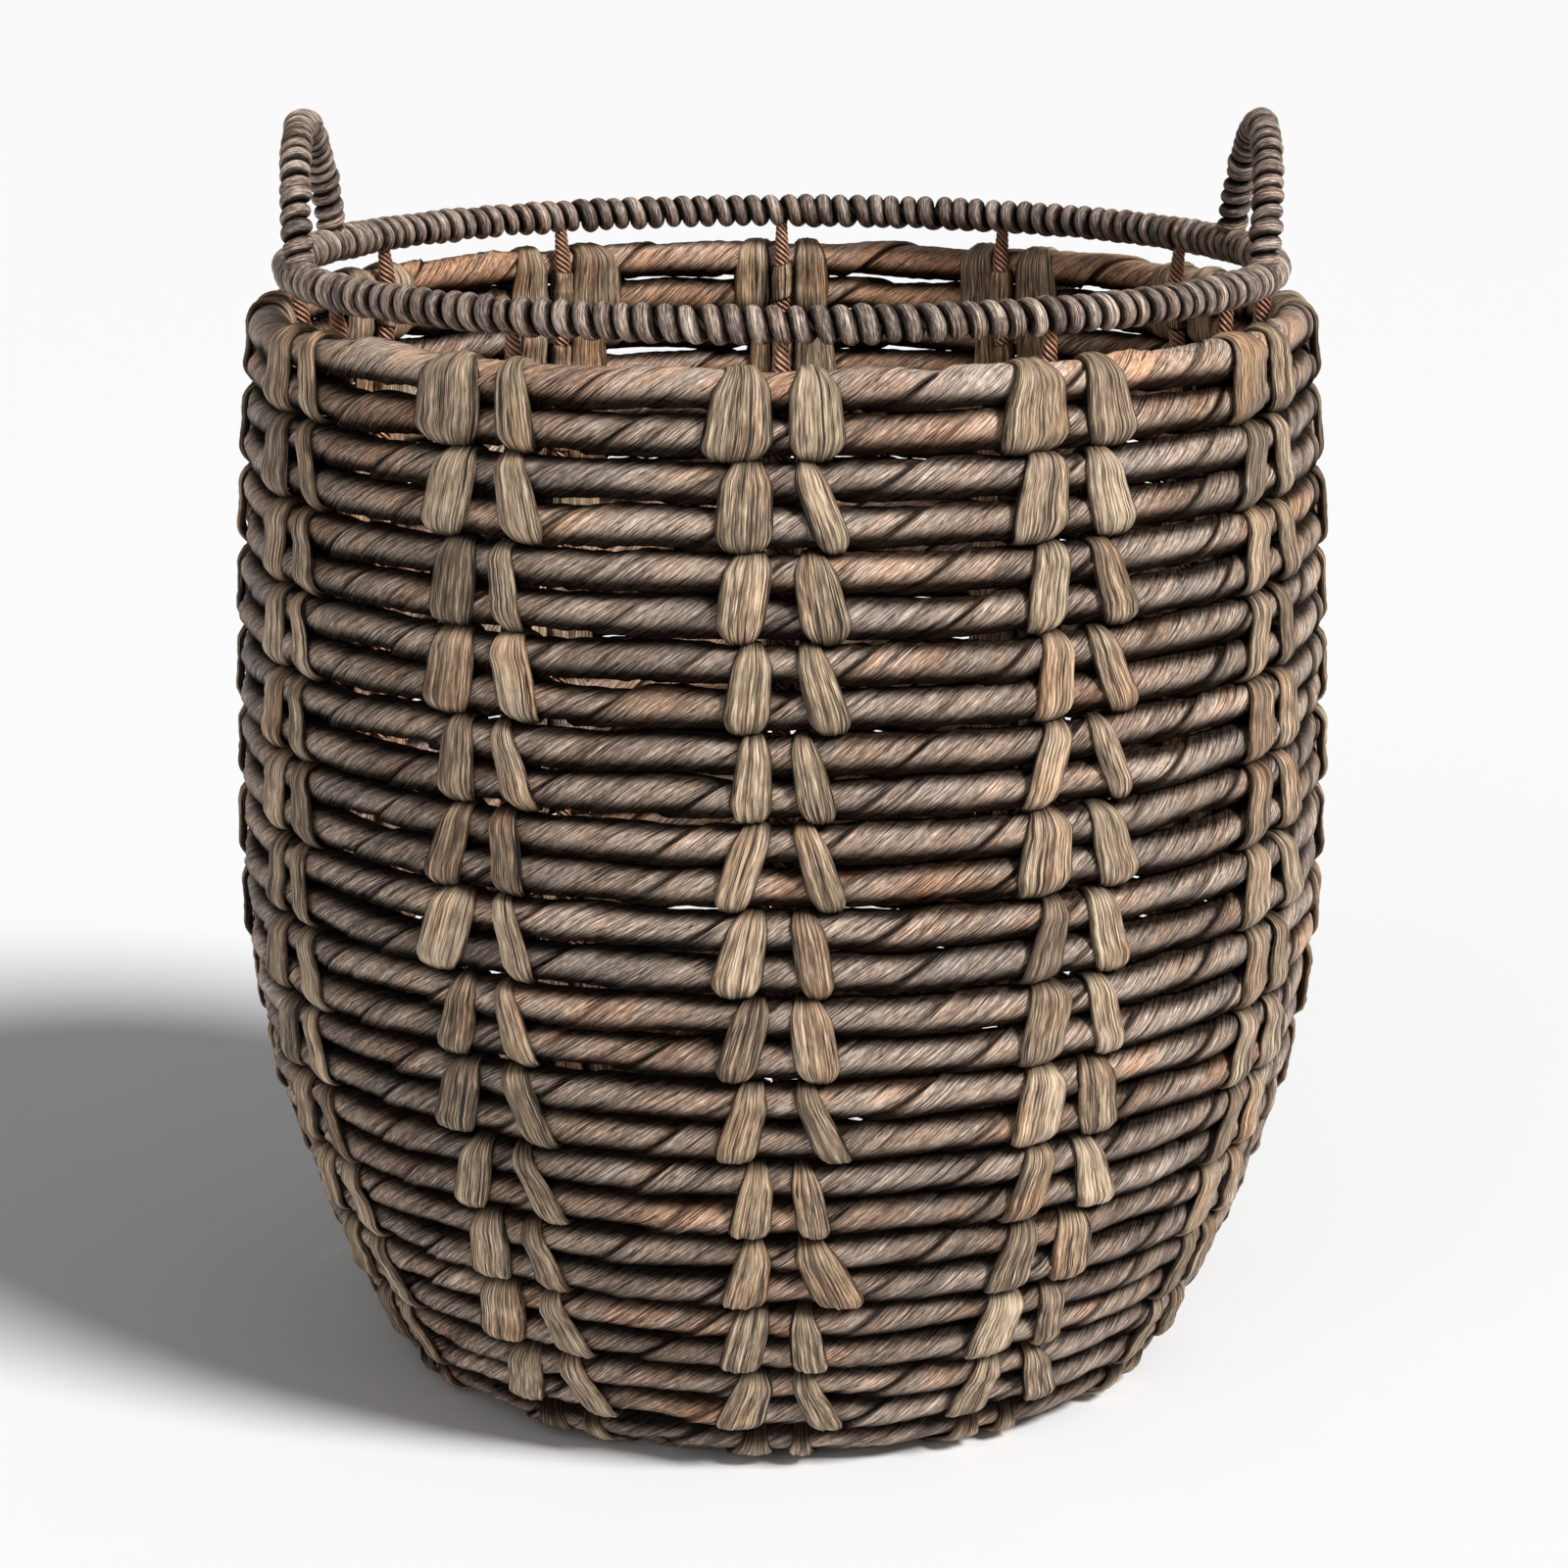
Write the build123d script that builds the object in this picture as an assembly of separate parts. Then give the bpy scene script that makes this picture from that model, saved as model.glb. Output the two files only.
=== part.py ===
"""Round woven log basket, about 49 cm across and 50 cm high to its rim, with two fixed handles.

Twenty-eight closed rings of twisted leaf rope are stacked in pairs. Each pair is tied to each of
twelve upright stakes by a flat leaf binding: one loop round the two ropes on each side of the
stake, joined by a bridge over the stake on the inside. The stakes bend in under the wall to carry
the base ropes, and rise above the top rope to a wire hoop. A cord bound round the hoop makes the
rim, and two arched wires, bound the same way, are welded to the hoop as handles.

Millimetres, +Z up. The origin is the middle of the foot, on the floor. One stake is at the front,
-Y, and the handles are at -X and +X. A wall place is (radius, height) in the plane Y = 0.
"""

import os
from math import asin, cos, degrees, hypot, pi, radians, sin

from build123d import *

# Rope wall
BAYS = 12
WALL_PAIRS = 14
ROPE_RADIUS = 8.15
STEP_IN_PAIR = 17.2
TOP_ROPE_HEIGHT = 471.0

# The wall line, through the rope centres, is three tangent arcs from the top rope to the foot
BELLY_RADIUS = 234.0
BELLY_HEIGHT = 242.0
UPPER_ARC = 2700.0
LOWER_ARC = 440.0
FOOT_ARC = 23.0

# Leaf bindings
STRAP = 0.9
STRAP_GAP = 0.15
TOP_STRAP_WIDTH = 24.0
STRAP_WIDTH = 15.0
STRAP_TO_STAKE = 0.5
BRIDGE_HALF_WIDTH = 5.0
BRIDGE_LENGTH = 17.0
LOW_BRIDGE_LENGTH = 10.0

# Base, inside the last wall rope
BASE_PAIRS = 4
STEP_IN_BASE_PAIR = 16.6
CENTRE_ROPE_RADIUS = 13.0
BASE_LOOP_WIDTHS = (12.0, 9.0, 9.0, 5.0)
BASE_LOOP_COUNTS = (BAYS, BAYS, BAYS, 4)
BASE_PAIRS_ON_STAKES = 2

# Stakes, rim and handles
STAKE_RADIUS = 3.5
STAKE_GAP = 0.3
STAKE_END_RADIUS = 76.0
HOOP_WIRE_RADIUS = 3.0
HANDLE_WIRE_RADIUS = 2.8
RIM_RADIUS = 215.0
RIM_HEIGHT = 496.0
RIM_WRAP_RADIUS = 7.1
HANDLE_WRAP_RADIUS = 6.9
HANDLE_HALF_ANGLE = 18.0
HANDLE_RISE = 60.0
HANDLE_LEAN = 5.0

STRAP_REACH = ROPE_RADIUS + STRAP_GAP + STRAP
FOOT_HEIGHT = STRAP_REACH
STAKE_OFFSET = ROPE_RADIUS + STAKE_RADIUS + STAKE_GAP

# Lean of the wall line from vertical, at the top rope and where the lower arc meets the foot arc
TOP_LEAN = -asin((TOP_ROPE_HEIGHT - BELLY_HEIGHT) / UPPER_ARC)
FOOT_LEAN = asin((BELLY_HEIGHT - FOOT_HEIGHT - FOOT_ARC) / (LOWER_ARC - FOOT_ARC))
UPPER_LENGTH = -TOP_LEAN * UPPER_ARC
LOWER_LENGTH = FOOT_LEAN * LOWER_ARC
WALL_LENGTH = UPPER_LENGTH + LOWER_LENGTH + (pi / 2 - FOOT_LEAN) * FOOT_ARC
PAIR_PITCH = (WALL_LENGTH - STEP_IN_PAIR) / (WALL_PAIRS - 1)


def wall_place(lean, inward=0.0):
    """(radius, height) where the wall line leans by this angle, moved inward along its normal."""
    if lean <= 0:
        arc, start, r, z = UPPER_ARC, 0.0, BELLY_RADIUS, BELLY_HEIGHT
    else:
        arc, start, r, z = LOWER_ARC, 0.0, BELLY_RADIUS, BELLY_HEIGHT
    if lean > FOOT_LEAN:
        r -= LOWER_ARC * (1 - cos(FOOT_LEAN))
        z -= LOWER_ARC * sin(FOOT_LEAN)
        arc, start = FOOT_ARC, FOOT_LEAN
    r -= arc * (cos(start) - cos(lean))
    z -= arc * (sin(lean) - sin(start))
    return r - inward * cos(lean), z + inward * sin(lean)


def lean_at(distance):
    """The wall line's lean at this distance down from the top rope."""
    if distance < UPPER_LENGTH:
        return TOP_LEAN + distance / UPPER_ARC
    if distance < UPPER_LENGTH + LOWER_LENGTH:
        return (distance - UPPER_LENGTH) / LOWER_ARC
    return FOOT_LEAN + (distance - UPPER_LENGTH - LOWER_LENGTH) / FOOT_ARC


def wall_pairs():
    """The two rope places of each wall pair, from the top down."""
    starts = [PAIR_PITCH * i for i in range(WALL_PAIRS)]
    return [
        (wall_place(lean_at(s)), wall_place(lean_at(s + STEP_IN_PAIR)))
        for s in starts
    ]


def base_pairs():
    """The two rope places of each base pair, from the outside in."""
    foot_radius = wall_place(pi / 2)[0]
    pitch = (foot_radius - CENTRE_ROPE_RADIUS) / BASE_PAIRS
    inner = [foot_radius - pitch * (i + 1) for i in range(BASE_PAIRS)]
    return [((r + STEP_IN_BASE_PAIR, FOOT_HEIGHT), (r, FOOT_HEIGHT)) for r in inner]


def ring(place, radius):
    """A closed ring of round section about Z."""
    r, z = place
    return Pos(0, 0, z) * Torus(r, radius)


def turned(shape, angle):
    """The shape turned about Z, in degrees."""
    return Rot(Z=angle) * shape


def pair_plane(pair):
    """Plane at a pair's middle: x runs from the first rope to the second, z is tangential."""
    (r1, z1), (r2, z2) = pair
    middle = ((r1 + r2) / 2, 0, (z1 + z2) / 2)
    return Plane(origin=middle, x_dir=(r2 - r1, 0, z2 - z1), z_dir=(0, 1, 0))


def loop(pair, width):
    """A strap round both ropes of a pair, as wide as this at the second rope and curved with it."""
    (r1, z1), (r2, z2) = pair
    step = hypot(r2 - r1, z2 - z1)
    section = SlotCenterToCenter(step, 2 * STRAP_REACH)
    section -= SlotCenterToCenter(step, 2 * (STRAP_REACH - STRAP))
    angle = degrees(width / r2)
    strap = revolve(pair_plane(pair) * section, Axis.Z, revolution_arc=angle)
    return turned(strap, -angle / 2)


def bridge(pair, length):
    """The part of a binding that crosses the stake inside the pair, this long down the stake."""
    near = STRAP_REACH - STRAP / 2
    under = STAKE_OFFSET + STAKE_RADIUS + STRAP_GAP
    rise = under + STRAP - near
    outer = Box(length, rise, 2 * BRIDGE_HALF_WIDTH)
    inner = Pos(0, -STRAP, 0) * Box(length, rise, 2 * (BRIDGE_HALF_WIDTH - STRAP))
    arch = Pos(0, near + rise / 2, 0) * (outer - inner)
    plane = pair_plane(pair)
    inward = plane.y_dir.Z > 0 or plane.y_dir.X < 0
    return plane * (arch if inward else Rot(X=180) * arch)


def binding(pair, width, bridge_length):
    """One strip of leaf: a loop on each side of the stake and the bridge between them."""
    turn = degrees((STAKE_RADIUS + STRAP_TO_STAKE + width / 2) / pair[1][0])
    side = loop(pair, width)
    return turned(side, turn) + bridge(pair, bridge_length) + turned(side, -turn)


def stake():
    """Rod inside the wall, from the hoop's centre line down and in under the wall ropes."""

    def at(lean):
        r, z = wall_place(lean, STAKE_OFFSET)
        return (r, 0, z)

    upper = ThreePointArc(at(TOP_LEAN), at(TOP_LEAN / 2), at(0))
    rise = TangentArc(at(TOP_LEAN), (RIM_RADIUS, 0, RIM_HEIGHT), tangent=-(upper % 0))
    lower = ThreePointArc(at(0), at(FOOT_LEAN / 2), at(FOOT_LEAN))
    corner = ThreePointArc(at(FOOT_LEAN), at((FOOT_LEAN + pi / 2) / 2), at(pi / 2))
    leg = Line(at(pi / 2), (STAKE_END_RADIUS, 0, at(pi / 2)[2]))
    path = Wire([rise, upper, lower, corner, leg])
    start = Plane(origin=(RIM_RADIUS, 0, RIM_HEIGHT), z_dir=rise % 1)
    return sweep(start * Circle(STAKE_RADIUS), path=path)


def handle_rod(radius):
    """Rod of this radius along the handle at +X, with its ends on the hoop's centre line."""
    half = RIM_RADIUS * sin(radians(HANDLE_HALF_ANGLE))
    foot = RIM_RADIUS * cos(radians(HANDLE_HALF_ANGLE))
    out, up = sin(radians(HANDLE_LEAN)), cos(radians(HANDLE_LEAN))
    top = (foot + HANDLE_RISE * out, 0, RIM_HEIGHT + HANDLE_RISE * up)
    path = ThreePointArc((foot, -half, RIM_HEIGHT), top, (foot, half, RIM_HEIGHT))
    return sweep(Plane(origin=path @ 0, z_dir=path % 0) * Circle(radius), path=path)


def write(name, *shapes):
    """One STEP file for the node, holding every solid of these shapes."""
    solids = [solid for shape in shapes for solid in shape.solids()]
    export_step(solids[0] if len(solids) == 1 else Compound(solids), f"parts/{name}.step")


def main():
    os.makedirs("parts", exist_ok=True)
    walls, bases = wall_pairs(), base_pairs()
    stake_angles = [-90 + 360 / BAYS * i for i in range(BAYS)]

    hoop = ring((RIM_RADIUS, RIM_HEIGHT), HOOP_WIRE_RADIUS)
    bound_rim = ring((RIM_RADIUS, RIM_HEIGHT), RIM_WRAP_RADIUS)
    stakes = [turned(stake() - hoop, angle) for angle in stake_angles]
    core = handle_rod(HANDLE_WIRE_RADIUS) - hoop
    cores = {"left": turned(core, 180), "right": core}
    cover = handle_rod(HANDLE_WRAP_RADIUS) - handle_rod(HANDLE_WIRE_RADIUS) - bound_rim

    for i, place in enumerate(place for pair in walls for place in pair):
        write(f"wall_rope_{i + 1:02d}", ring(place, ROPE_RADIUS))
    for i, rod in enumerate(stakes):
        write(f"stake_{i + 1:02d}", rod)

    column = [binding(walls[0], TOP_STRAP_WIDTH, BRIDGE_LENGTH)]
    column += [binding(pair, STRAP_WIDTH, BRIDGE_LENGTH) for pair in walls[1:-1]]
    for i, angle in enumerate(stake_angles):
        write(f"wall_bindings_{i + 1:02d}", *[turned(b, angle) for b in column])

    write("base_ropes", *[ring(place, ROPE_RADIUS) for pair in bases for place in pair])
    lowest = binding(walls[-1], STRAP_WIDTH, LOW_BRIDGE_LENGTH)
    lashings = [turned(lowest, angle) for angle in stake_angles]
    for i, pair in enumerate(bases):
        width, count = BASE_LOOP_WIDTHS[i], BASE_LOOP_COUNTS[i]
        on_stake = i < BASE_PAIRS_ON_STAKES
        lashing = binding(pair, width, LOW_BRIDGE_LENGTH) if on_stake else loop(pair, width)
        lashings += [turned(lashing, 360 / count * k) for k in range(count)]
    write("base_bindings", *lashings)

    write("rim_hoop", hoop)
    rim_wrap = bound_rim - hoop
    for rod in [*stakes, *cores.values()]:
        rim_wrap -= rod
    write("rim_wrap", rim_wrap)
    for side, angle in (("left", 180), ("right", 0)):
        write(f"handle_core_{side}", cores[side])
        write(f"handle_wrap_{side}", turned(cover, angle))
    print(f"pair pitch {PAIR_PITCH:.2f}, foot radius {wall_place(pi / 2)[0]:.2f}")


main()
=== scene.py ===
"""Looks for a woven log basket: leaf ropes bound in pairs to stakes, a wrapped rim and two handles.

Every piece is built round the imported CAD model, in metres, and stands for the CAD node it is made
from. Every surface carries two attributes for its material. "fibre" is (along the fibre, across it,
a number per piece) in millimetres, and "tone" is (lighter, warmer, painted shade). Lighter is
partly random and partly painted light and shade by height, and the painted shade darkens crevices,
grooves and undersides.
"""

from math import asin, atan2, ceil, cos, pi, radians, sin, sqrt

import bpy
import numpy as np
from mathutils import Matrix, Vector


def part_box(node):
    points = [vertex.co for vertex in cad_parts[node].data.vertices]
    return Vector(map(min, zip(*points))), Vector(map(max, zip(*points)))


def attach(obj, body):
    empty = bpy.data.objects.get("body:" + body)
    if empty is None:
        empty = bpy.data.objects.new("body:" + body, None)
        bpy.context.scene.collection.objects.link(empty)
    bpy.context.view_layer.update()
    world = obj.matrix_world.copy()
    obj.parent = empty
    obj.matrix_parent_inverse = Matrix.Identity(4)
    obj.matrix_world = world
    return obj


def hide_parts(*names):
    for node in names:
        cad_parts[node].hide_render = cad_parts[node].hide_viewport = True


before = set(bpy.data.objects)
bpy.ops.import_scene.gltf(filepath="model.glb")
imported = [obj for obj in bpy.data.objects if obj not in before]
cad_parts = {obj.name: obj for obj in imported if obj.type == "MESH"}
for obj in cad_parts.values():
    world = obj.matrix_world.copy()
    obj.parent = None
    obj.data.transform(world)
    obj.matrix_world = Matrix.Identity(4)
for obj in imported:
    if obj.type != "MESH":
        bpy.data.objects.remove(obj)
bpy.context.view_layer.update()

MM = 0.001

# The basket has a stake between every two bays, the first of them at the front
BAYS = 12
WALL_ROPES = 28
FRONT = -pi / 2
BAY = 2 * pi / BAYS

# Where each random stream starts
ROPE_SEED = 100
BASE_ROPE_SEED = 200
STRIP_SEED = 1000
LOW_STRIP_SEED = 2000
BASE_STRIP_SEED = 2100
STAKE_SEED = 3000
RIM_SEED = 4000
HANDLE_SEED = 4100

# Ropes: TWIST_PITCH is one turn of the leaf, SEAM_STEP the height of its edge, ROPE_BOW the most a
# rope rises or sinks between two stakes, and SPLICE_ANGLE a place where the edge stands out
TWIST_PITCH = 68 * MM
ROPE_STEP = 2.3 * MM
SEAM_STEP = 1.5 * MM
ROPE_SWELL = 1.02
ROPE_BOW = 1.0 * MM
ROPE_FIRST_ANGLE = 0.045
SPLICE_ANGLE = radians(-133)

# The lowest points of ropes and strips, off the floor and apart from each other
ROPE_FLOOR_GAP = 0.6 * MM
STRIP_FLOOR_GAP = 0.15 * MM

# Painted light and shade by height: ropes below FADE_HEIGHT are darker and those above it lighter,
# by this much at the floor
HEIGHT_SHADE = 0.8
FADE_HEIGHT = 240 * MM

# Bindings: a strip's thickness and its gap from the rope, its widths and leans on the top pair, the
# others and the lowest, and how near it comes to the stake's middle line
STRIP = 1.4 * MM
STRIP_GAP = 0.2 * MM
STRIP_CROWN = 1.35 * MM
TOP_WIDTH = 21.5 * MM
STRIP_WIDTH = 17 * MM
LOW_WIDTH = 14.5 * MM
TOP_LEAN = 3.5 * MM
STRIP_LEAN = 8.5 * MM
NEAR_OUTSIDE = 1.6 * MM
NEAR_INSIDE = 3.7 * MM
SLEEVE_LENGTH = 17.5 * MM
LOW_SLEEVE_LENGTH = 9 * MM
SLEEVE_CROWN = 0.5 * MM
SLEEVE_WRAP = radians(105)

# Stakes: STAKE_OFFSET is from the ropes' middle line, and STAKE_LAY one turn of the strands
STAKE_RADIUS = 3.5 * MM
STAKE_OFFSET = 11.95 * MM
STAKE_END_RADIUS = 76 * MM
STAKE_STRANDS = 6
STRAND_PLACES = 6
STRAND_RELIEF = 1.4 * MM
STAKE_LAY = 15.5 * MM

# Rim and handles: the cord's turns stand out to the cord radii, a little over the CAD wraps
RIM_CORD_RADIUS = 8.1 * MM
HANDLE_CORD_RADIUS = 7.0 * MM
HANDLE_WRAP_RADIUS = 6.9 * MM
WIRE_RADIUS = 3.0 * MM
RIM_PITCH = 8.65 * MM
HANDLE_PITCH = 6.9 * MM
HANDLE_SLACK = 1.4
HANDLE_HALF_ANGLE = radians(18)
CORD_PLACES_PER_TURN = 26

# Base, from the outside in
BASE_PAIRS = 4
BASE_PAIR_STEP = 16.6 * MM
CENTRE_ROPE_RADIUS = 13 * MM
BASE_STRIP_WIDTHS = (12 * MM, 9 * MM, 9 * MM, 5 * MM)
BASE_STRIP_COUNTS = (12, 12, 12, 4)
BASE_STRIP_LEAN = 0.5 * MM
BASE_PAIRS_ON_STAKES = 2

# Colours that multiply the fibre's own: in its cracks, and as painted shade in crevices, grooves
# and on undersides
CRACK_COLOUR = (0.07, 0.055, 0.048)
PAINTED_SHADE_COLOUR = (0.03, 0.022, 0.017)

# Studio: each light is (name, where it comes from, spread in degrees, strength)
FLOOR_REACH = 40.0
FLOOR_COLOUR = (0.85, 0.85, 0.85, 1)
WORLD_STRENGTH = 0.19
LIGHTS = (
    ("key", (1.0, -0.80, 1.17), 16, 4.2),
    ("fill", (-0.4, -1.0, 0.55), 50, 0.50),
)
CAMERA_PLACE = (0.0011, -1.8274, 0.7078)
CAMERA_DOWN = 13.81
CAMERA_LENS = 95.03


# ---------------------------------------------------------------- small tools


def wave(turn, rng, low, high, fade=0.5):
    """A smooth random curve of about unit size that repeats every full turn.

    It adds low to high waves a turn, which get smaller with fade.
    """
    total, power = np.zeros_like(turn), 0.0
    for k in range(low, high + 1):
        size = rng.normal() / k**fade
        total += size * np.cos(k * turn + rng.uniform(0, 2 * pi))
        power += size * size / 2
    return total / sqrt(power + 1e-9)


def smooth(x):
    x = np.clip(x, 0, 1)
    return x * x * (3 - 2 * x)


def angle_gap(a, b):
    """How far apart two angles are, the short way round."""
    return np.abs((a - b + pi) % (2 * pi) - pi)


def sheet_faces(nu, nv, closed_u):
    """Quads between nu rows of nv points. Each row is a ring, and closed_u joins last to first."""
    rows = nu if closed_u else nu - 1
    i = np.arange(rows)[:, None]
    j = np.arange(nv)[None, :]
    k, m = (i + 1) % nu, (j + 1) % nv
    quads = np.stack([i * nv + j, i * nv + m, k * nv + m, k * nv + j], axis=-1)
    return quads.reshape(-1, 4)


def faces_outward(points):
    """Whether a tube's quads, as sheet_faces orders them, face away from its middle line."""
    here, there = points[:-1], points[1:]
    across = there[:, 1:] - here[:, :-1]
    down = there[:, :-1] - here[:, 1:]
    away = (here[:, 1:] + there[:, :-1]) / 2 - here.mean(axis=1, keepdims=True)
    return float((np.cross(across, down) * away).sum()) > 0


class Shape:
    """Points, quads and attributes of one piece, gathered from several closed skins."""

    def __init__(self):
        self.points, self.quads, self.caps = [], [], []
        self.fibre, self.tone, self.count = [], [], 0

    def skin(self, points, fibre, tone, closed=True):
        """Adds a tube given as rows of rings. fibre and tone stretch to the points' shape."""
        nu, nv, _ = points.shape
        outward = faces_outward(points)
        quads = sheet_faces(nu, nv, closed) + self.count
        self.quads.append(quads if outward else quads[:, ::-1])
        if not closed:
            first = list(range(self.count, self.count + nv))
            last = [place + (nu - 1) * nv for place in first]
            self.caps += [first[::-1], last] if outward else [first, last[::-1]]
        self.points.append(points.reshape(-1, 3))
        self.fibre.append(np.broadcast_to(fibre, points.shape).reshape(-1, 3))
        self.tone.append(np.broadcast_to(tone, points.shape).reshape(-1, 3))
        self.count += nu * nv

    def piece(self, name, material, slot, *nodes):
        """Makes the object, which stands for these CAD nodes."""
        points = np.concatenate(self.points).astype(np.float32)
        quads = np.concatenate(self.quads)
        corners = [quads.ravel()] + [np.array(cap) for cap in self.caps]
        sizes = np.array([4] * len(quads) + [len(cap) for cap in self.caps])
        starts = np.concatenate([[0], np.cumsum(sizes)[:-1]])
        mesh = bpy.data.meshes.new(name)
        mesh.vertices.add(len(points))
        mesh.vertices.foreach_set("co", points.ravel())
        mesh.loops.add(int(sizes.sum()))
        mesh.loops.foreach_set("vertex_index", np.concatenate(corners).astype(np.int32))
        mesh.polygons.add(len(sizes))
        mesh.polygons.foreach_set("loop_start", starts.astype(np.int32))
        mesh.polygons.foreach_set("loop_total", sizes.astype(np.int32))
        mesh.update(calc_edges=True)
        mesh.validate()
        for key, values in (("fibre", self.fibre), ("tone", self.tone)):
            field = mesh.attributes.new(key, "FLOAT_VECTOR", "POINT")
            field.data.foreach_set("vector", np.concatenate(values).astype(np.float32).ravel())
        mesh.polygons.foreach_set("use_smooth", np.ones(len(sizes), dtype=bool))
        mesh.materials.append(material)
        made = bpy.data.objects.new(name, mesh)
        bpy.context.scene.collection.objects.link(made)
        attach(made, "root")
        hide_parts(*nodes)


def stacked(*parts):
    """Joins arrays into an array of vectors, each part stretched to the common shape."""
    return np.stack(np.broadcast_arrays(*parts), axis=-1)


# ---------------------------------------------------------------- materials


def add(tree, kind, inputs=None, **settings):
    """A node, with its settings and with each input linked or set."""
    made = tree.nodes.new(kind)
    for key, value in settings.items():
        setattr(made, key, value)
    for key, value in (inputs or {}).items():
        if isinstance(value, bpy.types.NodeSocket):
            tree.links.new(value, made.inputs[key])
        else:
            made.inputs[key].default_value = value
    return made


def maths(tree, operation, a, b=0.0, c=0.0, clamp=False):
    made = add(tree, "ShaderNodeMath", {0: a, 1: b, 2: c}, operation=operation, use_clamp=clamp)
    return made.outputs[0]


def multiplied(tree, share, colour, by):
    """A colour multiplied by a fixed one, as far as share says."""
    inputs = {0: share, 6: colour, 7: (*by, 1)}
    made = add(tree, "ShaderNodeMix", inputs, data_type="RGBA", blend_type="MULTIPLY")
    return made.outputs[2]


def ramp(tree, value, stops):
    made = add(tree, "ShaderNodeValToRGB", {0: value})
    elements = made.color_ramp.elements
    while len(elements) < len(stops):
        elements.new(0.5)
    for element, (place, colour) in zip(elements, stops):
        element.position = place
        element.color = (*colour, 1)
    return made.outputs[0]


def noise(tree, vector, stretch, rough=0.55, distortion=0.0):
    """Noise stretched along the fibre. stretch is its frequency per mm, along and across."""
    scaled = add(tree, "ShaderNodeVectorMath", {0: vector, 1: (*stretch, 1)}, operation="MULTIPLY")
    inputs = {"Vector": scaled.outputs[0], "Scale": 1.0, "Detail": 2.0, "Roughness": rough}
    made = add(tree, "ShaderNodeTexNoise", {**inputs, "Distortion": distortion})
    return made.outputs[0]


def fibre_material(name, stops, cool, warm, lines, streaks, cracks, rough, depth):
    """Dry plant fibre with fine and slow streaks, thin cracks, patches of tint and painted shade in
    crevices.

    lines and streaks are frequencies per mm, along and across: of the cracks and fine streaks, and
    of the slow streaks. cracks is how dark the cracks are, and depth how far the bumps stand out.
    """
    material = bpy.data.materials.new(name)
    material.use_nodes = True
    tree = material.node_tree
    shader = tree.nodes["Principled BSDF"]
    fibre = add(tree, "ShaderNodeAttribute", attribute_name="fibre").outputs["Vector"]
    tone = add(tree, "ShaderNodeAttribute", attribute_name="tone").outputs["Vector"]
    light, warmth, painted_shade = add(tree, "ShaderNodeSeparateXYZ", {0: tone}).outputs

    fine = noise(tree, fibre, (lines[0] * 1.6, lines[1] * 2.1))
    broad = noise(tree, fibre, streaks)
    flecks = noise(tree, fibre, (lines[0] * 10, lines[1] * 1.6))
    patches = noise(tree, fibre, (0.03, 0.05))

    value = maths(tree, "MULTIPLY_ADD", broad, 0.14, maths(tree, "MULTIPLY", fine, 0.42))
    value = maths(tree, "MULTIPLY_ADD", flecks, 0.44, value)
    value = maths(tree, "MULTIPLY_ADD", light, 0.028, value)
    colour = ramp(tree, value, stops)

    # A crack runs wherever a slow noise crosses its middle value, wider where the streaks are dark
    level = noise(tree, fibre, lines, rough=0.5, distortion=0.15)
    away = maths(tree, "ABSOLUTE", maths(tree, "SUBTRACT", level, 0.5))
    away = maths(tree, "MULTIPLY_ADD", broad, 0.10, maths(tree, "SUBTRACT", away, 0.056))
    open_part = maths(tree, "MULTIPLY_ADD", away, -45.0, 1.0, clamp=True)
    dark = maths(tree, "MULTIPLY", open_part, cracks)
    colour = multiplied(tree, dark, colour, CRACK_COLOUR)

    # Patches are warm on one side of their middle value and cool on the other. Then the painted
    # shade from the tone attribute darkens crevices, grooves and undersides
    tint = maths(tree, "MULTIPLY_ADD", patches, 2.6, -1.3)
    tint = maths(tree, "MULTIPLY_ADD", warmth, 0.30, tint)
    for share, scale, over in ((tint, 0.9, warm), (tint, -1.0, cool), (painted_shade, 1.0, PAINTED_SHADE_COLOUR)):
        part = maths(tree, "MULTIPLY", share, scale, clamp=True)
        colour = multiplied(tree, part, colour, over)
    tree.links.new(colour, shader.inputs["Base Color"])

    sheen = maths(tree, "MULTIPLY_ADD", fine, -0.35, rough + 0.17)
    tree.links.new(maths(tree, "MAXIMUM", sheen, 0.28), shader.inputs["Roughness"])
    # The painted shade also lowers the specular there
    shine = maths(tree, "MULTIPLY_ADD", painted_shade, -0.40, 0.40, clamp=True)
    tree.links.new(shine, shader.inputs["Specular IOR Level"])
    height = maths(tree, "MULTIPLY_ADD", flecks, 0.22, maths(tree, "MULTIPLY", fine, 0.55))
    height = maths(tree, "MULTIPLY_ADD", open_part, -0.55, height)
    bump = add(tree, "ShaderNodeBump", {"Height": height, "Strength": 0.9, "Distance": depth})
    tree.links.new(bump.outputs[0], shader.inputs["Normal"])
    return material


def rope_material():
    stops = [
        (0.38, (0.095, 0.064, 0.047)),
        (0.45, (0.196, 0.138, 0.102)),
        (0.51, (0.316, 0.229, 0.170)),
        (0.57, (0.500, 0.378, 0.292)),
        (0.66, (0.82, 0.65, 0.52)),
    ]
    return fibre_material(
        "twisted_leaf", stops, cool=(0.66, 0.70, 0.78), warm=(1.14, 0.82, 0.60),
        lines=(0.030, 0.85), streaks=(0.02, 0.34), cracks=0.95, rough=0.58, depth=0.5 * MM,
    )


def strip_material():
    stops = [
        (0.40, (0.103, 0.068, 0.042)),
        (0.46, (0.208, 0.141, 0.089)),
        (0.51, (0.334, 0.237, 0.154)),
        (0.56, (0.495, 0.367, 0.245)),
        (0.63, (0.76, 0.59, 0.42)),
    ]
    return fibre_material(
        "leaf_strip", stops, cool=(0.78, 0.79, 0.78), warm=(1.10, 0.84, 0.64),
        lines=(0.013, 0.66), streaks=(0.010, 0.28), cracks=1.0, rough=0.62, depth=0.6 * MM,
    )


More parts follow.
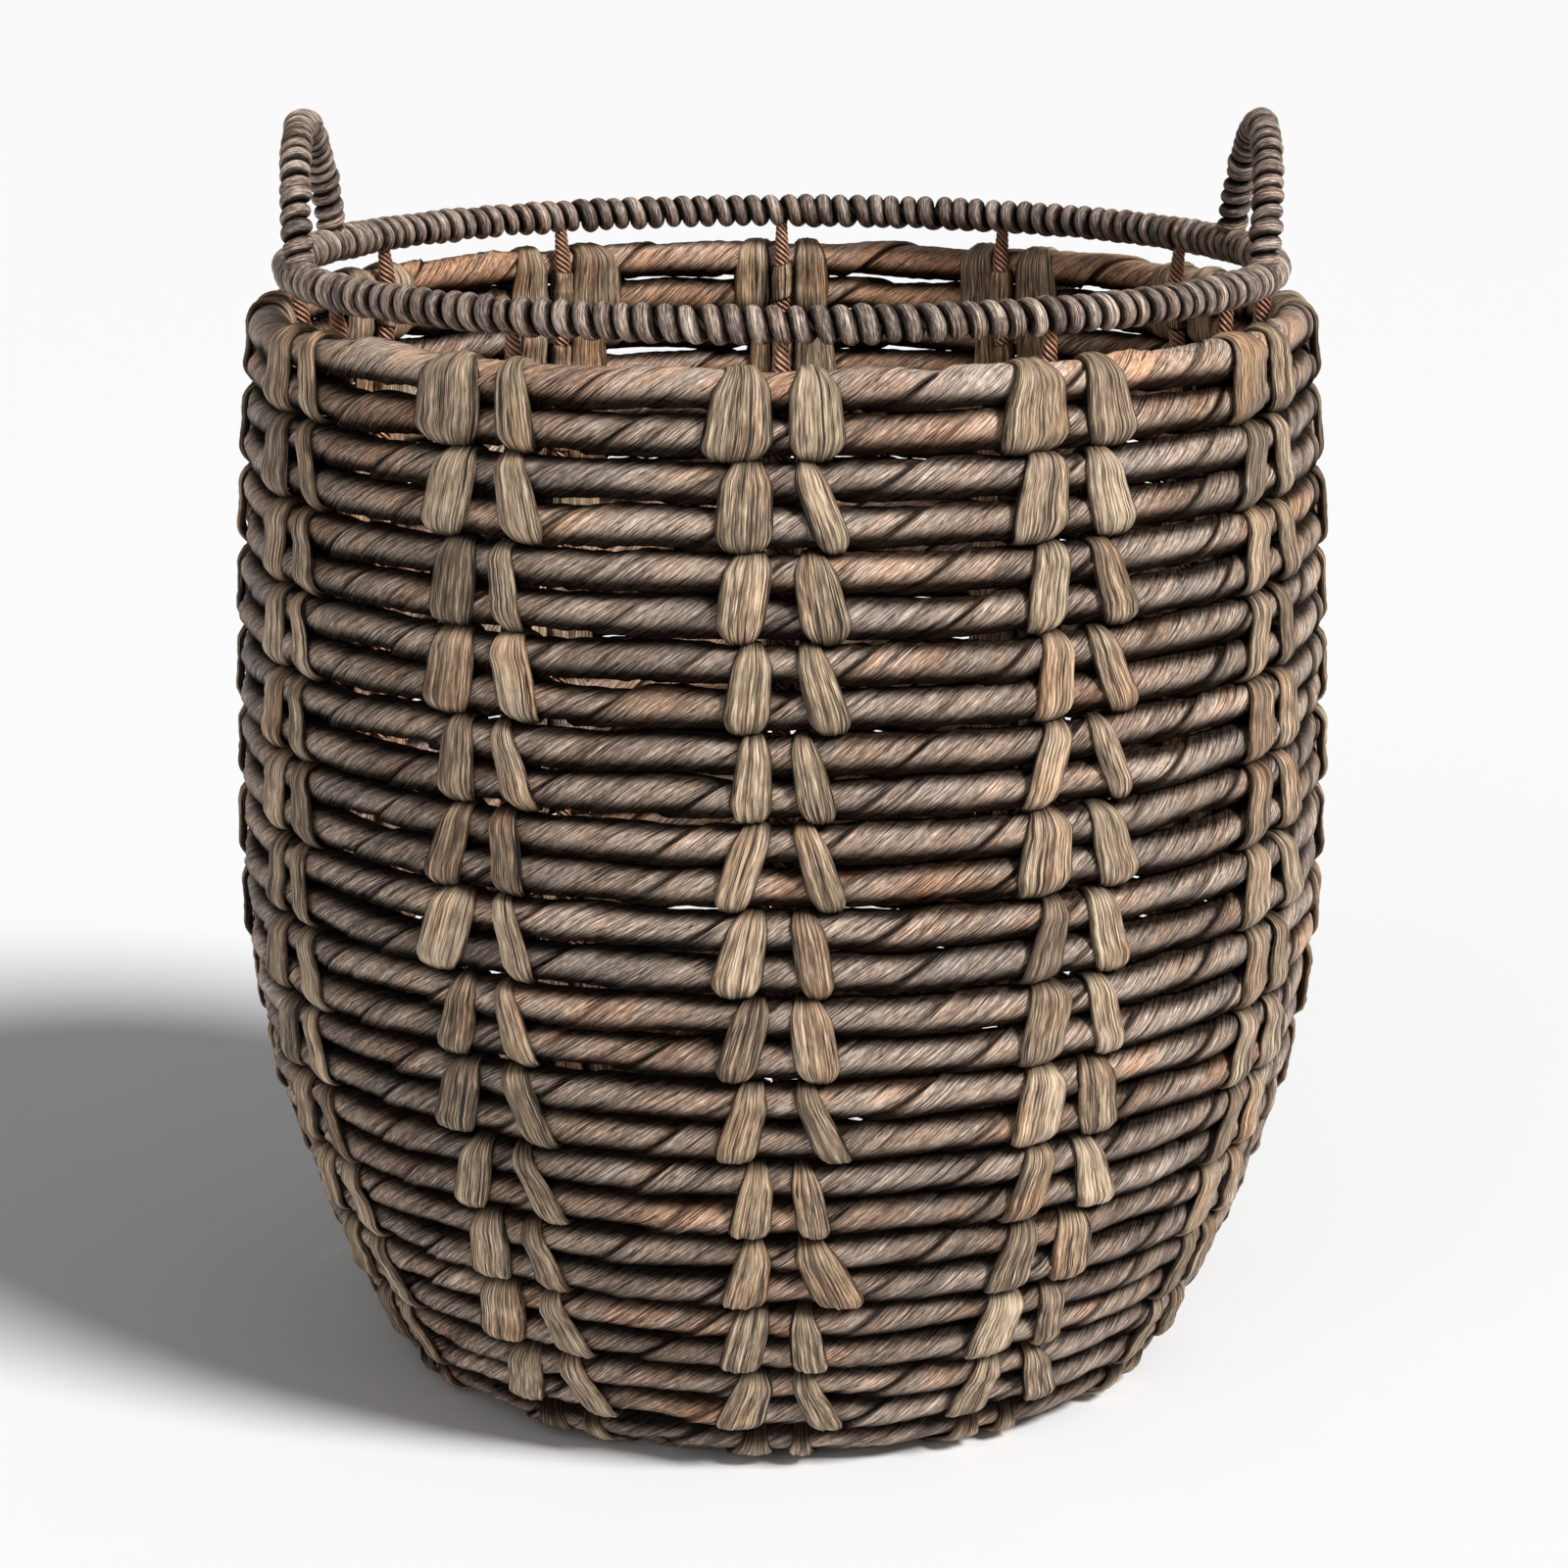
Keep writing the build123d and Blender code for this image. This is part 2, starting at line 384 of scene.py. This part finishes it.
def rim_material():
    stops = [
        (0.40, (0.076, 0.053, 0.041)),
        (0.46, (0.168, 0.122, 0.097)),
        (0.51, (0.290, 0.218, 0.174)),
        (0.56, (0.455, 0.354, 0.286)),
        (0.63, (0.72, 0.58, 0.47)),
    ]
    return fibre_material(
        "rim_cord", stops, cool=(0.78, 0.82, 0.88), warm=(1.12, 0.86, 0.70),
        lines=(0.04, 1.0), streaks=(0.02, 0.40), cracks=0.62, rough=0.50, depth=0.35 * MM,
    )


def stake_material():
    stops = [
        (0.38, (0.17, 0.068, 0.038)),
        (0.46, (0.38, 0.170, 0.098)),
        (0.54, (0.62, 0.330, 0.210)),
        (0.64, (0.90, 0.60, 0.44)),
    ]
    return fibre_material(
        "stake_cord", stops, cool=(0.82, 0.76, 0.72), warm=(1.08, 0.92, 0.82),
        lines=(0.10, 0.8), streaks=(0.04, 0.5), cracks=0.35, rough=0.26, depth=0.15 * MM,
    )


def wire_material():
    """Dark coated wire with a faint mottle, for the hidden hoop and handle cores."""
    material = bpy.data.materials.new("coated_wire")
    material.use_nodes = True
    tree = material.node_tree
    shader = tree.nodes["Principled BSDF"]
    place = add(tree, "ShaderNodeTexCoord").outputs["Object"]
    mottle = add(tree, "ShaderNodeTexNoise", {"Vector": place, "Scale": 300.0, "Detail": 3.0})
    stops = [(0.3, (0.02, 0.015, 0.012)), (0.7, (0.06, 0.045, 0.035))]
    colour = ramp(tree, mottle.outputs[0], stops)
    tree.links.new(colour, shader.inputs["Base Color"])
    shader.inputs["Roughness"].default_value = 0.5
    return material


# ---------------------------------------------------------------- ropes


def ring_place(node):
    """(radius of the centre line, its height, rope radius) of a ring node."""
    low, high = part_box(node)
    thick = (high[2] - low[2]) / 2
    return high[0] - thick, (high[2] + low[2]) / 2, thick


def twisted_rope(
    shape, place, seed, lean, tied=(), tied_half=0.0, bow=0.0, crowded=1.0, topmost=False
):
    """A closed ring of rolled, twisted leaf. lean is the wall's angle from vertical there.

    tied gives the angles of the strips round it, tied_half half the width they hold, and bow the
    most that the rope rises between two stakes. crowded scales how much the rope wanders, and
    topmost says that no rope lies on it.
    """
    radius, height, thick = place
    rng = np.random.default_rng(seed)
    length = 2 * pi * radius
    turns = max(2, round(length / TWIST_PITCH * rng.uniform(0.93, 1.07)))
    rows = int(length / ROPE_STEP)
    start = FRONT + BAY * rng.integers(BAYS) + ROPE_FIRST_ANGLE
    turn = np.arange(rows)[:, None] / rows * 2 * pi
    theta = start + turn

    # Under a strip the rope is squeezed and held in line
    held = np.zeros_like(theta)
    for angle in tied:
        held = np.maximum(held, np.exp(-(angle_gap(theta, angle) * radius / tied_half) ** 4))

    # Places round the section, close together at the seam, where the leaf's edge steps down
    near = 0.20
    even = np.linspace(near, 2 * pi - near, 22)
    psi = np.concatenate([[0.0, 0.08], even, [2 * pi - 0.06]])[None, :]
    high = np.concatenate([[0.0, -0.12], (even - near) / (even[-1] - near), [1.02]])[None, :]
    step = SEAM_STEP * (1 + 0.35 * wave(turn, rng, 3, 14))
    step += 0.6 * MM * np.exp(-(angle_gap(theta, SPLICE_ANGLE) / 0.13) ** 2)
    step = np.clip(step, 0.35 * MM, 2.1 * MM) * (1 - 0.5 * held)

    ridges = rng.normal(0, 0.17 * MM, psi.shape[1])
    ridges[:2] *= 0.3
    drift = rng.normal(0, 0.15 * MM, psi.shape[1])
    section = thick * (ROPE_SWELL + 0.035 * wave(turn, rng, 4, 26, 0.3)) + step * (high - 0.5)
    section += ridges[None, :] + drift[None, :] * wave(turn, rng, 5, 20)
    section += 0.28 * MM * np.cos(psi - wave(turn, rng, 2, 12)) * wave(turn, rng, 10, 40, 0.2)
    section *= 1 - 0.05 * held

    # The whole rope turns as it goes, so the fibres rise to the right when seen from outside
    phi = psi + turns * turn + rng.uniform(0, 2 * pi)
    loose = crowded * (1 - 0.7 * held)
    bays = rng.uniform(0.0, 1.0, BAYS)[((theta - FRONT) // BAY).astype(int) % BAYS]
    sag = bow * bays * np.sin((theta - FRONT) * BAYS / 2) ** 2
    out = radius + 0.55 * MM * wave(turn, rng, 3, 16) * loose + section * np.cos(phi)
    up = height + 0.50 * MM * wave(turn, rng, 3, 18) * loose + sag + section * np.sin(phi)
    up = np.maximum(up, ROPE_FLOOR_GAP)
    points = stacked(out * np.cos(theta), out * np.sin(theta), up)

    along = turn * radius / MM
    across = psi * thick / MM
    lighter = rng.normal(0, 0.5) + 0.8 * wave(turn, rng, 2, 16, 0.4)
    # Painted light and shade by height: lighter up the wall, darker towards the floor
    lighter = lighter + HEIGHT_SHADE * (height / FADE_HEIGHT - 1)
    warmer = rng.normal(0, 0.5) + 0.8 * wave(turn, rng, 2, 12, 0.4)
    warmer = warmer + 2.1 * smooth(-np.cos(phi - lean))
    # Painted shade: the rope's colour is darkened on its underside, on its top where the rope above
    # lies (not on the topmost rope), and in the step down at the leaf's seam
    facing = np.sin(phi - lean)
    under = 0.98 * smooth((-facing + 0.10) / 0.66)
    over = (0.0 if topmost else 0.96) * smooth((facing - 0.46) / 0.42)
    seam = np.where(high < 0.005, 0.95, 0) * (0.4 + 0.6 * smooth(step / (1.6 * MM)))
    painted_shade = np.maximum(np.maximum(under, over), seam)
    tone = stacked(lighter, warmer, painted_shade)
    shape.skin(points, stacked(along, across, seed * 37.7), tone)


def wall_places():
    return [ring_place(f"wall_rope_{i + 1:02d}") for i in range(WALL_ROPES)]


def base_places():
    """The base ropes' places, from the outside in, worked out as the CAD model does."""
    foot, height, thick = ring_place(f"wall_rope_{WALL_ROPES:02d}")
    pitch = (foot - CENTRE_ROPE_RADIUS) / BASE_PAIRS
    inner = [foot - pitch * (i + 1) for i in range(BASE_PAIRS)]
    return [(r + move, height, thick) for r in inner for move in (BASE_PAIR_STEP, 0.0)]


def stake_angles():
    return [FRONT + BAY * i for i in range(BAYS)]


def wall_lean(places, i):
    """The wall line's angle from vertical at a rope, from the ropes above and below it."""
    above, below = places[max(i - 1, 0)], places[min(i + 1, len(places) - 1)]
    return atan2(above[0] - below[0], above[1] - below[1])


def make_ropes(material):
    places = wall_places()
    for i, place in enumerate(places):
        shape = Shape()
        half = (TOP_WIDTH if i < 2 else STRIP_WIDTH) / 2
        beside = [side * (half + NEAR_INSIDE) / place[0] for side in (-1, 1)]
        tied = [angle + turn for angle in stake_angles() for turn in beside]
        bow = ROPE_BOW * (1 if i % 2 == 0 else -1)
        lean = -wall_lean(places, i)
        twisted_rope(shape, place, ROPE_SEED + i, lean, tied, 1.25 * half, bow, topmost=i == 0)
        shape.piece(f"leaf_rope_{i + 1:02d}", material, "leaf_rope", f"wall_rope_{i + 1:02d}")
    shape = Shape()
    for i, place in enumerate(base_places()):
        twisted_rope(shape, place, BASE_ROPE_SEED + i, pi / 2, crowded=0.4)
    shape.piece("leaf_ropes_of_base", material, "leaf_rope", "base_ropes")


# ---------------------------------------------------------------- bindings


def strip_section(rng, across, crown):
    """Heights of a strip's crowned, ridged and creased outer skin, at places from -1 to 1."""
    rise = crown * (1 - np.abs(across) ** 2.5)
    ridges = rng.normal(0, 0.16 * MM, len(across))
    crease = rng.uniform(-0.6, 0.6)
    rise -= 0.35 * crown * np.exp(-(((across - crease) / 0.10) ** 2))
    return rise + ridges * (1 - np.abs(across) ** 6)


def bound_loop(shape, pair, angle, side, width, seed, lean, topmost=False):
    """A leaf strip wound once round the two ropes of a pair, beside the stake at this angle.

    side is -1 or 1, or 0 for a strip with no stake. lean is how much further from the stake the
    strip is at the second rope. topmost says that no rope lies on the pair.
    """
    rng = np.random.default_rng(seed)
    (r1, z1, thick), (r2, z2, _) = pair
    first, second = np.array([r1, z1]), np.array([r2, z2])
    middle, half = (first + second) / 2, np.linalg.norm(second - first) / 2
    down = (second - first) / (2 * half)
    out = np.array([-down[1], down[0]])
    reach = thick + STRIP_GAP

    # Round the pair: along its outer face, round the second rope, back inside and round the first
    bend = np.linspace(0, pi, 15)
    run = np.linspace(-half, half, 9)[1:-1]
    centre = np.concatenate([run, np.full(15, half), run[::-1], np.full(15, -half)])
    turn = np.concatenate([np.zeros(7), bend, np.full(7, pi), pi + bend])
    flat = np.concatenate([np.ones(7), np.zeros(15), np.ones(7), np.zeros(15)])
    dip = flat * rng.uniform(0.1, 0.9) * MM * np.cos(centre / half * pi / 2)
    level = (centre + reach * np.sin(turn)) / (half + reach)

    # It starts below the second rope, where the seam in the fibre's pattern is out of sight
    centre, turn, dip, level = (np.roll(values, -14) for values in (centre, turn, dip, level))
    outside = smooth(1 + np.cos(turn))

    across = np.concatenate([np.linspace(-1, 1, 15), [0.86, 0.0, -0.86]])
    skin = np.concatenate([strip_section(rng, across[:15], STRIP_CROWN), np.full(3, -STRIP)])
    skin[[0, 14]] = -0.75 * STRIP
    flare = rng.uniform(-0.02, 0.24) * np.sign(lean)
    body = width / 2 * (1 + flare * level + 0.05 * np.sin(2 * turn + rng.uniform(0, 6)))
    body *= (1 - 0.40 * np.abs(np.sin(turn)) ** 1.8) * (0.88 + 0.12 * outside)
    wander = 0.6 * MM * np.sin(turn * rng.integers(1, 3) + rng.uniform(0, 6)) * outside
    near = NEAR_INSIDE + (NEAR_OUTSIDE - NEAR_INSIDE + rng.uniform(0, 0.8) * MM) * outside
    beside = near + width / 2 + lean * (level + 1) / 2 * (0.15 + 0.85 * outside)
    beside = side * beside + wander
    pinch = 0.4 * MM * np.abs(np.sin(turn)) ** 3

    rise = reach + STRIP - dip[:, None] - pinch[:, None] + skin[None, :]
    rise += 0.13 * MM * rng.normal(size=(len(turn), 1)) * (skin > -STRIP * 0.7)
    place = centre[:, None, None] * down + rise[..., None] * (
        np.cos(turn)[:, None, None] * out + np.sin(turn)[:, None, None] * down
    )
    place = place + middle
    tangent = beside[:, None] + across[None, :] * body[:, None]
    r, z = place[..., 0], np.maximum(place[..., 1], STRIP_FLOOR_GAP)
    c, s = cos(angle), sin(angle)
    points = stacked(r * c - tangent * s, r * s + tangent * c, z)

    total = 4 * half + 2 * pi * reach
    along = np.cumsum(np.full(len(turn), total / len(turn)))[:, None] / MM
    fibre = stacked(along, across[None, :] * width / 2 / MM, seed * 13.3)
    # Painted shade: the strip is darkened along its edges, where they turn down to the rope, and
    # where it bends round the ropes' tops and bottoms between pairs (only the bottom for the top
    # pair)
    edge = smooth((np.abs(across[None, :]) - 0.74) / 0.26)
    hidden = np.sin(turn) if topmost else np.abs(np.sin(turn))
    hollow = smooth((hidden[:, None] - 0.50) / 0.50)
    painted_shade = np.maximum(0.80 * edge, 0.95 * hollow)
    warmer = rng.normal(0, 0.7) + 1.2 * (1 - outside[:, None])
    shape.skin(points, fibre, stacked(rng.normal(0, 0.8), warmer, painted_shade))


def stake_sleeve(shape, pair, angle, length, seed):
    """The part of a binding that wraps over the stake on the inside, this long down the stake."""
    rng = np.random.default_rng(seed)
    (r1, z1, thick), (r2, z2, _) = pair
    first, second = np.array([r1, z1]), np.array([r2, z2])
    middle = (first + second) / 2
    down = (second - first) / np.linalg.norm(second - first)
    inward = np.array([down[1], -down[0]])

    # Up beside the stake from under one strip, over it, and down under the other
    bend = np.linspace(-SLEEVE_WRAP, SLEEVE_WRAP, 19)
    hug = STAKE_RADIUS + 0.35 * MM
    side = np.concatenate([[-4.5 * MM, -4.1 * MM], hug * np.sin(bend), [4.1 * MM, 4.5 * MM]])
    foot = [thick + 0.4 * MM, thick + 1.3 * MM]
    rise = np.concatenate([foot, STAKE_OFFSET + hug * np.cos(bend), foot[::-1]])
    ahead = np.gradient(side), np.gradient(rise)
    size = np.hypot(*ahead)
    normal = -ahead[1] / size, ahead[0] / size

    across = np.concatenate([np.linspace(-1, 1, 13), [0.9, 0.0, -0.9]])
    skin = np.concatenate([strip_section(rng, across[:13], SLEEVE_CROWN) + 0.6 * MM, np.zeros(3)])
    skin[[0, 12]] = 0.1 * MM
    slant = rng.uniform(-0.3, 0.3)
    level = across[None, :] * length / 2 * rng.uniform(0.9, 1.08) + slant * side[:, None]
    height = rise[:, None] + skin[None, :] * normal[1][:, None]
    tangent = side[:, None] + skin[None, :] * normal[0][:, None]
    place = middle + height[..., None] * inward + level[..., None] * down
    c, s = cos(angle), sin(angle)
    r = place[..., 0]
    points = stacked(r * c - tangent * s, r * s + tangent * c, place[..., 1])
    walked = np.cumsum(size)[:, None]
    fibre = stacked((level + 0.4 * side[:, None]) / MM, walked / MM, seed * 17.1)
    # Painted shade: the sleeve is darkened along its edges and at its feet, where it goes under the
    # strips
    edge = 0.8 * smooth((np.abs(across[None, :]) - 0.80) / 0.20)
    low = 0.95 * smooth((np.abs(side)[:, None] / MM - 2.9) / 1.2)
    tone = stacked(rng.normal(0, 0.6), rng.normal(1.4, 0.6), np.maximum(edge, low))
    shape.skin(points, fibre, tone, closed=False)


def stake_binding(shape, pair, angle, width, seed, lean, sleeve, topmost=False):
    """One binding: a loop on each side of the stake and the sleeve over it."""
    rng = np.random.default_rng(seed)
    for k, side in enumerate((-1, 1)):
        wide = width * rng.uniform(0.82, 1.36) * (1.12 if side < 0 else 0.88)
        slope = lean * rng.uniform(0.2, 1.3) * (1.0 if side < 0 else 1.3)
        bound_loop(shape, pair, angle, side, wide, seed * 3 + k, slope, topmost)
    stake_sleeve(shape, pair, angle, sleeve, seed * 3 + 2)


def make_bindings(material):
    places = wall_places()
    pairs = list(zip(places[::2], places[1::2]))
    for column, angle in enumerate(stake_angles()):
        shape = Shape()
        for row, pair in enumerate(pairs[:-1]):
            width, lean = (TOP_WIDTH, TOP_LEAN) if row == 0 else (STRIP_WIDTH, STRIP_LEAN)
            seed = STRIP_SEED + 40 * column + row
            stake_binding(shape, pair, angle, width, seed, lean, SLEEVE_LENGTH, topmost=row == 0)
        name = f"{column + 1:02d}"
        shape.piece(f"leaf_bindings_{name}", material, "leaf_strip", f"wall_bindings_{name}")

    shape = Shape()
    for column, angle in enumerate(stake_angles()):
        seed = LOW_STRIP_SEED + column
        stake_binding(shape, pairs[-1], angle, LOW_WIDTH, seed, TOP_LEAN, LOW_SLEEVE_LENGTH)
    bases = base_places()
    for i, pair in enumerate(zip(bases[::2], bases[1::2])):
        width, count = BASE_STRIP_WIDTHS[i], BASE_STRIP_COUNTS[i]
        for k in range(count):
            angle = FRONT + 2 * pi / count * k
            seed = BASE_STRIP_SEED + 20 * i + k
            if i < BASE_PAIRS_ON_STAKES:
                stake_binding(shape, pair, angle, width, seed, BASE_STRIP_LEAN, LOW_SLEEVE_LENGTH)
            else:
                bound_loop(shape, pair, angle, 0, width, seed, 0.0)
    shape.piece("leaf_bindings_of_base", material, "leaf_strip", "base_bindings")


# ---------------------------------------------------------------- stakes


def spline(knots, spacing):
    """Evenly spaced points along a smooth curve through the knots, with its length."""
    knots = np.array(knots)
    ends = np.vstack([2 * knots[0] - knots[1], knots, 2 * knots[-1] - knots[-2]])
    t = np.linspace(0, 1, 12, endpoint=False)[:, None]
    runs = []
    for a, b, c, d in zip(ends, ends[1:], ends[2:], ends[3:]):
        square, cube = 2 * a - 5 * b + 4 * c - d, 3 * b - a - 3 * c + d
        runs.append(0.5 * (2 * b + (c - a) * t + square * t**2 + cube * t**3))
    line = np.vstack(runs + [knots[-1:]])
    walked = np.concatenate([[0], np.cumsum(np.linalg.norm(np.diff(line, axis=0), axis=1))])
    even = np.linspace(0, walked[-1], ceil(walked[-1] / spacing))
    return np.stack([np.interp(even, walked, line[:, k]) for k in range(2)], axis=1), even


def stake_line():
    """The stake's route in its own upright plane, from the hoop down, in and along the base."""
    places = wall_places()
    hoop, rim_height, _ = ring_place("rim_hoop")
    knots = [(hoop, rim_height)]
    for i, (r, z, _) in enumerate(places):
        lean = wall_lean(places, i)
        knots.append((r - STAKE_OFFSET * cos(lean), z + STAKE_OFFSET * sin(lean)))
    base = places[-1][1] + STAKE_OFFSET
    knots[-1] = (places[-1][0], base)
    knots += [(r, base) for r in (140 * MM, 120 * MM, 98 * MM, STAKE_END_RADIUS)]
    return spline(knots, 0.9 * MM)


def make_stakes(material):
    line, walked = stake_line()
    ahead = np.gradient(line, axis=0)
    ahead /= np.linalg.norm(ahead, axis=1)[:, None]
    side = np.stack([-ahead[:, 1], ahead[:, 0]], axis=1)
    places = STAKE_STRANDS * STRAND_PLACES
    ring = np.arange(places)[None, :] / places * 2 * pi
    for column, angle in enumerate(stake_angles()):
        rng = np.random.default_rng(STAKE_SEED + column)
        lay = walked[:, None] / STAKE_LAY * 2 * pi
        phi = ring + lay + rng.uniform(0, 6)
        bulge = np.abs(np.cos(ring * STAKE_STRANDS / 2)) - 0.6
        radius = STAKE_RADIUS - 0.1 * MM + STRAND_RELIEF * bulge
        radius = radius * (1 + 0.02 * wave(walked[:, None] * 12, rng, 1, 6))
        radius *= 0.74 + 0.26 * smooth((walked[:, None] - 5 * MM) / (19 * MM))
        place = line[:, None, :] + (radius * np.cos(phi))[..., None] * side[:, None, :]
        tangent = radius * np.sin(phi)
        c, s = cos(angle), sin(angle)
        r, z = place[..., 0], place[..., 1]
        points = stacked(r * c - tangent * s, r * s + tangent * c, z)
        fibre = stacked(walked[:, None] / MM, ring * STAKE_RADIUS * 1.6 / MM, column * 19.0)
        # Painted shade in the grooves between the strands
        painted_shade = smooth(0.35 - 2.4 * bulge) * 0.92
        tone = stacked(0.4 * wave(walked[:, None] * 12, rng, 1, 8), 0.0, painted_shade)
        shape = Shape()
        shape.skin(points, fibre, tone, closed=False)
        name = f"{column + 1:02d}"
        shape.piece(f"stake_cord_{name}", material, "stake_cord", f"stake_{name}")


# ---------------------------------------------------------------- rim and handles


def wound_cord(shape, route, length, closed, outer, pitch, seed, slack=1.0):
    """A cord wound closely round a wire. route gives (centre, out, aside) at distances along it.

    outer is how far its turns stand out from the wire's middle line, and slack scales how much
    they differ from each other.
    """
    rng = np.random.default_rng(seed)
    turns = round(length / pitch)
    pitch = length / turns
    count = turns * CORD_PLACES_PER_TURN + (0 if closed else 1)
    t = np.arange(count)[:, None] / CORD_PLACES_PER_TURN
    around = 2 * pi * t

    # The cord's section: flat on the wire, domed outside, as wide as the pitch
    dome = np.linspace(0, pi, 13)
    across = np.concatenate([np.cos(dome), [-0.55, 0.55]])[None, :]
    rise = np.concatenate([np.sin(dome), [-0.06, -0.06]])[None, :]
    knots = np.arange(turns * 2 + 4)
    jitter = np.interp(t.ravel() * 2, knots, rng.normal(0, 1, len(knots)))[:, None]
    swell = np.interp(t.ravel() * 2, knots, rng.normal(0, 1, len(knots)))[:, None]
    if closed:
        fade = smooth(turns - 1 - t) * smooth(t)
        jitter, swell = jitter * fade, swell * fade
    bottom = WIRE_RADIUS + 0.15 * MM
    tall = (outer - bottom) * (0.98 + 0.07 * swell * slack)
    wide = pitch / 2 * (1.03 + 0.07 * swell)
    along = pitch * t + across * wide + 0.06 * pitch * jitter * slack
    centre, out, aside = route(along)
    height = (bottom + rise * tall)[..., None]
    points = centre + height * (np.cos(around)[..., None] * out + np.sin(around)[..., None] * aside)

    number = np.floor(t + 0.25).astype(int)
    shades = rng.normal(0, 1, (turns + 2, 2))
    fibre = stacked(around * 5, across * wide / MM, number * 9.7 + seed)
    # Painted shade in the grooves between the cord's turns
    edge = smooth((np.abs(across) - 0.34) / 0.48)
    shade = shades[number[:, 0]]
    tone = stacked(shade[:, :1], 0.55 * shade[:, 1:], 0.97 * edge)
    shape.skin(points, fibre, tone, closed)


def make_rim(material):
    hoop, height, _ = ring_place("rim_hoop")

    def route(along):
        angle = FRONT + 0.4 + along / hoop
        out = stacked(np.cos(angle), np.sin(angle), 0.0)
        return out * hoop + np.array([0, 0, height]), out, np.array([0.0, 0.0, -1.0])

    shape = Shape()
    wound_cord(shape, route, 2 * pi * hoop, True, RIM_CORD_RADIUS, RIM_PITCH, RIM_SEED)
    shape.piece("rim_binding", material, "rim_cord", "rim_wrap")


def make_handles(material):
    hoop, height, _ = ring_place("rim_hoop")
    foot, half = hoop * cos(HANDLE_HALF_ANGLE), hoop * sin(HANDLE_HALF_ANGLE)
    _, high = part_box("handle_wrap_right")
    top = np.array([high[0] - HANDLE_WRAP_RADIUS - foot, high[2] - HANDLE_WRAP_RADIUS - height])
    rise = np.linalg.norm(top)
    radius = (half**2 + rise**2) / (2 * rise)
    span = 2 * asin(min(1.0, half / radius))
    span = span if rise < radius else 2 * pi - span
    up = np.array([top[0] / rise, 0, top[1] / rise])
    across = np.array([0.0, 1.0, 0.0])
    middle = np.array([foot, 0, height]) + up * (rise - radius)

    for name, turned in (("right", 1.0), ("left", -1.0)):
        flip = np.array([turned, turned, 1.0])

        def route(along):
            angle = along / radius - span / 2
            out = np.sin(angle)[..., None] * across + np.cos(angle)[..., None] * up
            return (middle + radius * out) * flip, out * flip, np.cross(across, up) * flip

        shape = Shape()
        seed = HANDLE_SEED + int(turned)
        wound_cord(
            shape, route, radius * span, False, HANDLE_CORD_RADIUS, HANDLE_PITCH, seed, HANDLE_SLACK
        )
        shape.piece(f"handle_binding_{name}", material, "rim_cord", f"handle_wrap_{name}")


def finish_wires(material):
    """The CAD wires inside the wraps keep their shape and take the wire material."""
    for name in ("rim_hoop", "handle_core_left", "handle_core_right"):
        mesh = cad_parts[name].data
        mesh.materials.clear()
        mesh.materials.append(material)


# ---------------------------------------------------------------- studio


def make_studio():
    mesh = bpy.data.meshes.new("floor")
    signs = ((-1, -1), (1, -1), (1, 1), (-1, 1))
    corners = [(x * FLOOR_REACH, y * FLOOR_REACH, 0) for x, y in signs]
    mesh.from_pydata(corners, [], [(0, 1, 2, 3)])
    floor = bpy.data.objects.new("floor", mesh)
    bpy.context.scene.collection.objects.link(floor)
    material = bpy.data.materials.new("pale_floor")
    material.use_nodes = True
    shader = material.node_tree.nodes["Principled BSDF"]
    shader.inputs["Base Color"].default_value = FLOOR_COLOUR
    shader.inputs["Roughness"].default_value = 0.9
    mesh.materials.append(material)

    world = bpy.data.worlds.new("studio")
    bpy.context.scene.world = world
    world.use_nodes = True
    sky = world.node_tree.nodes["Background"]
    sky.inputs["Color"].default_value = (1, 1, 1, 1)
    sky.inputs["Strength"].default_value = WORLD_STRENGTH
    bpy.context.scene.view_settings.view_transform = "Standard"

    for light in LIGHTS:
        softbox(*light)


def softbox(name, towards, spread, strength):
    """A far-off soft light from that direction, spread over that many degrees."""
    light = bpy.data.lights.new(name, "SUN")
    light.angle = radians(spread)
    light.energy = strength
    made = bpy.data.objects.new(name, light)
    made.rotation_euler = (-Vector(towards)).to_track_quat("-Z", "Y").to_euler()
    bpy.context.scene.collection.objects.link(made)


def make_camera():
    """The photo's view point, as fitted to the rim, the foot and the rope rows."""
    camera = bpy.data.cameras.new("camera")
    camera.sensor_width = 36
    camera.lens = CAMERA_LENS
    camera.clip_end = 30
    made = bpy.data.objects.new("camera", camera)
    made.location = CAMERA_PLACE
    made.rotation_euler = (radians(90 - CAMERA_DOWN), 0, 0)
    bpy.context.scene.collection.objects.link(made)
    bpy.context.scene.camera = made


make_camera()
make_studio()
make_ropes(rope_material())
make_bindings(strip_material())
make_stakes(stake_material())
cord = rim_material()
make_rim(cord)
make_handles(cord)
finish_wires(wire_material())
